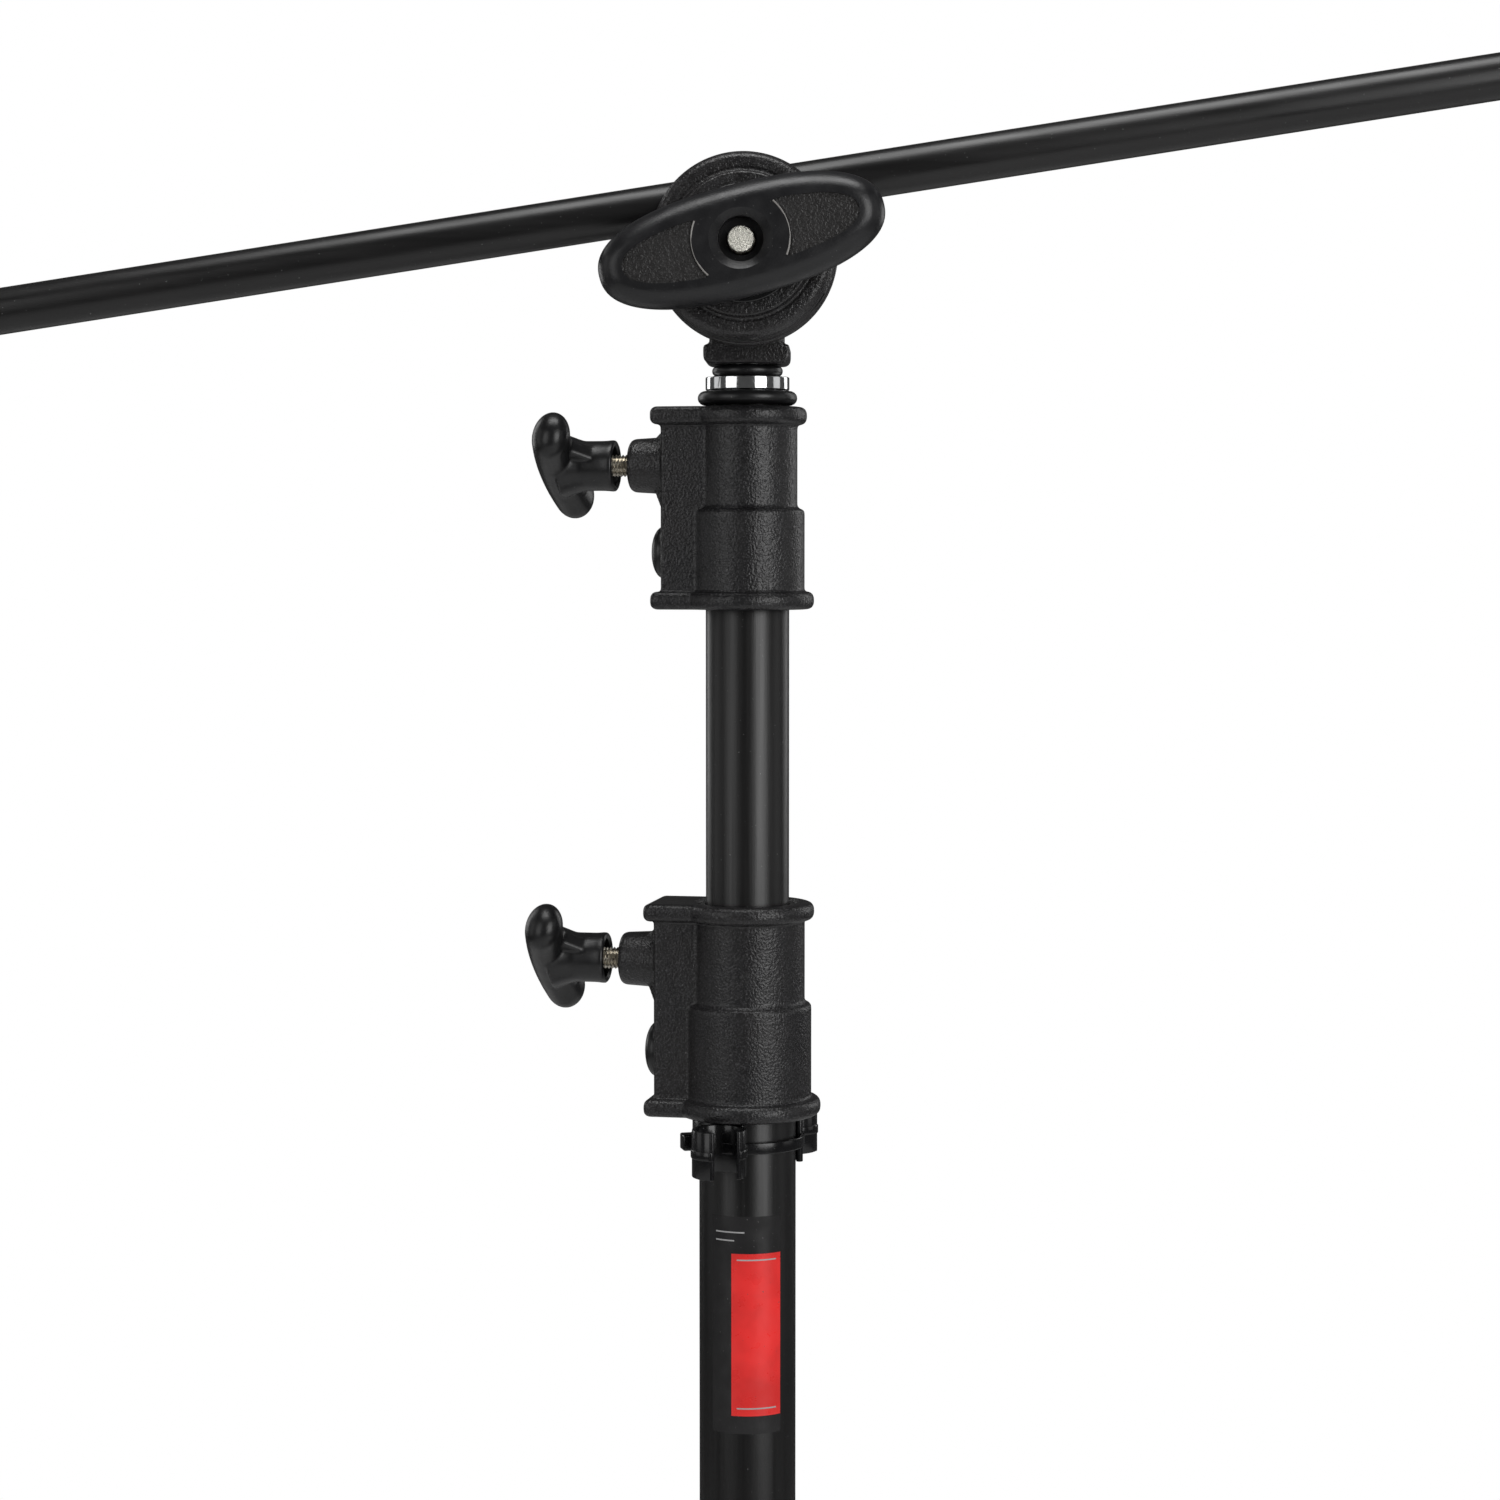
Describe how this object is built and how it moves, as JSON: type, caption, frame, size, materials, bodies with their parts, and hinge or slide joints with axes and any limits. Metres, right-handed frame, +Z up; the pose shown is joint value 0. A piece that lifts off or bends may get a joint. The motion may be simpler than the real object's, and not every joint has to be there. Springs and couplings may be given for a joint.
{
  "type": "grip stand with head and arm",
  "caption": "Black telescoping studio stand on three folding legs, with screw clamps, a round grip head and a long grip arm that carries a second head.",
  "frame": {"origin": "on the column's axis at floor level", "axes": "+Z up; the head's jaws and big handle face -Y; the clamp knobs point to -X; the arm rises towards +X"},
  "size_m": [1.0501, 0.83, 1.2386],
  "materials": {
    "tube": "satin black paint on steel",
    "casting": "dark grey fine-textured powder coat on die-cast aluminium",
    "handle": "semi-gloss black moulded plastic",
    "rubber": "black rubber",
    "nylon": "black nylon",
    "chrome": "polished chrome plate",
    "zinc": "zinc-plated steel",
    "brass": "bare brass",
    "label": "printed film, red field on dark grey"
  },
  "bodies": {
    "base": {"leg_hub_low": "casting", "leg_low": "tube", "foot_low": "rubber", "hub_washer_low": "nylon", "hub_washer_high": "nylon", "hub_spring": "zinc", "hub_collar": "casting", "column_tube": "tube", "column_plug": "rubber", "arm_clip": "nylon", "clip_tie": "nylon", "label": "label", "lower_casting": "casting", "lower_bush": "nylon", "lower_plug": "handle"},
    "leg_mid": {"leg_hub_mid": "casting", "leg_mid": "tube", "foot_mid": "rubber"},
    "leg_high": {"leg_hub_high": "casting", "leg_high": "tube", "foot_high": "rubber"},
    "lower_pad": {"lower_pad": "brass"},
    "lower_knob": {"lower_screw": "zinc", "lower_knob": "handle"},
    "mid_glide": {"riser_mid_glide": "nylon"},
    "mid_riser": {"riser_mid_tube": "tube", "upper_casting": "casting", "upper_bush": "nylon", "upper_plug": "handle"},
    "upper_pad": {"upper_pad": "brass"},
    "upper_knob": {"upper_screw": "zinc", "upper_knob": "handle"},
    "top_glide": {"riser_top_glide": "nylon"},
    "top_riser": {"riser_top_tube": "tube", "spigot_pin": "chrome", "bumper_ring": "rubber", "pin_ring": "rubber"},
    "head": {"head_body": "casting", "head_bolt": "zinc"},
    "head_lock_pad": {"head_lock_pad": "brass"},
    "head_lock_knob": {"head_lock_screw": "zinc", "head_lock_knob": "handle"},
    "head_jaws": {"head_rear_jaw": "casting", "head_jaw_spring": "zinc"},
    "head_front": {"head_front_jaw": "casting", "head_washer": "nylon"},
    "head_handle": {"head_handle": "handle", "head_handle_nut": "zinc"},
    "arm": {"arm_rod": "tube", "arm_end_cap": "rubber", "arm_head_body": "casting", "arm_head_rivet": "zinc", "arm_head_bolt": "zinc"},
    "arm_head_jaws": {"arm_head_rear_jaw": "casting", "arm_head_jaw_spring": "zinc"},
    "arm_head_front": {"arm_head_front_jaw": "casting", "arm_head_washer": "nylon"},
    "arm_head_handle": {"arm_head_handle": "handle", "arm_head_handle_nut": "zinc"}
  },
  "joints": [
    {"name": "leg_mid_fold", "type": "hinge", "parent": "base", "child": "leg_mid", "pos_m": [0, 0, 0.135], "axis": [0, 0, 1], "range_deg": [-105, 0]},
    {"name": "leg_high_fold", "type": "hinge", "parent": "base", "child": "leg_high", "pos_m": [0, 0, 0.175], "axis": [0, 0, 1], "range_deg": [0, 105]},
    {"name": "lower_pad_slide", "type": "slide", "parent": "base", "child": "lower_pad", "axis": [-0.9877, 0.1564, 0], "range_m": [0, 0.0023]},
    {"name": "lower_knob_turn", "type": "hinge", "parent": "lower_pad", "child": "lower_knob", "pos_m": [-0.05926, 0.00939, 0.8464], "axis": [-0.9877, 0.1564, 0], "range_deg": [0, 648]},
    {"name": "mid_riser_slide", "type": "slide", "parent": "base", "child": "mid_glide", "axis": [0, 0, 1], "range_m": [-0.105, 0.525]},
    {"name": "mid_riser_turn", "type": "hinge", "parent": "mid_glide", "child": "mid_riser", "pos_m": [0, 0, 0.9], "axis": [0, 0, 1], "continuous": true},
    {"name": "upper_pad_slide", "type": "slide", "parent": "mid_riser", "child": "upper_pad", "axis": [-0.9877, 0.1564, 0], "range_m": [0, 0.0023]},
    {"name": "upper_knob_turn", "type": "hinge", "parent": "upper_pad", "child": "upper_knob", "pos_m": [-0.05926, 0.00939, 1.025], "axis": [-0.9877, 0.1564, 0], "range_deg": [0, 648]},
    {"name": "top_riser_slide", "type": "slide", "parent": "mid_riser", "child": "top_glide", "axis": [0, 0, 1], "range_m": [0, 0.672]},
    {"name": "top_riser_turn", "type": "hinge", "parent": "top_glide", "child": "top_riser", "pos_m": [0, 0, 1], "axis": [0, 0, 1], "continuous": true},
    {"name": "head_swivel", "type": "hinge", "parent": "top_riser", "child": "head", "pos_m": [0, 0, 1.075], "axis": [0, 0, 1], "continuous": true},
    {"name": "head_lock_pad_slide", "type": "slide", "parent": "head", "child": "head_lock_pad", "axis": [0, 1, 0], "range_m": [0, 0.0023]},
    {"name": "head_lock_knob_turn", "type": "hinge", "parent": "head_lock_pad", "child": "head_lock_knob", "pos_m": [0, 0.04, 1.0727], "axis": [0, 1, 0], "range_deg": [0, 648]},
    {"name": "head_tilt", "type": "hinge", "parent": "head", "child": "head_jaws", "pos_m": [0, -0.042, 1.0983], "axis": [0, 1, 0], "range_deg": [-75, 95]},
    {"name": "head_jaw_opening", "type": "slide", "parent": "head_jaws", "child": "head_front", "axis": [0, -1, 0], "range_m": [0, 0.0048]},
    {"name": "head_handle_turn", "type": "hinge", "parent": "head_front", "child": "head_handle", "pos_m": [0, -0.07, 1.0983], "axis": [0, -1, 0], "range_deg": [0, 1080]},
    {"name": "arm_slide", "type": "slide", "parent": "head_jaws", "child": "arm", "axis": [0.9886, 0, 0.1504], "range_m": [-0.38, 0.46]},
    {"name": "arm_head_tilt", "type": "hinge", "parent": "arm", "child": "arm_head_jaws", "pos_m": [0.49281, -0.084, 1.19138], "axis": [0, 1, 0], "continuous": true},
    {"name": "arm_head_jaw_opening", "type": "slide", "parent": "arm_head_jaws", "child": "arm_head_front", "axis": [0, -1, 0], "range_m": [0, 0.0048]},
    {"name": "arm_head_handle_turn", "type": "hinge", "parent": "arm_head_front", "child": "arm_head_handle", "pos_m": [0.49281, -0.112, 1.19138], "axis": [0, -1, 0], "range_deg": [0, 1080]}
  ],
  "couplings": [
    {"joint": "lower_pad_slide", "follows": "lower_knob_turn", "m_per_rad": 0.00019894},
    {"joint": "upper_pad_slide", "follows": "upper_knob_turn", "m_per_rad": 0.00019894},
    {"joint": "head_lock_pad_slide", "follows": "head_lock_knob_turn", "m_per_rad": 0.00019894},
    {"joint": "head_jaw_opening", "follows": "head_handle_turn", "m_per_rad": 0.00025266},
    {"joint": "arm_head_jaw_opening", "follows": "arm_head_handle_turn", "m_per_rad": 0.00025266}
  ]
}
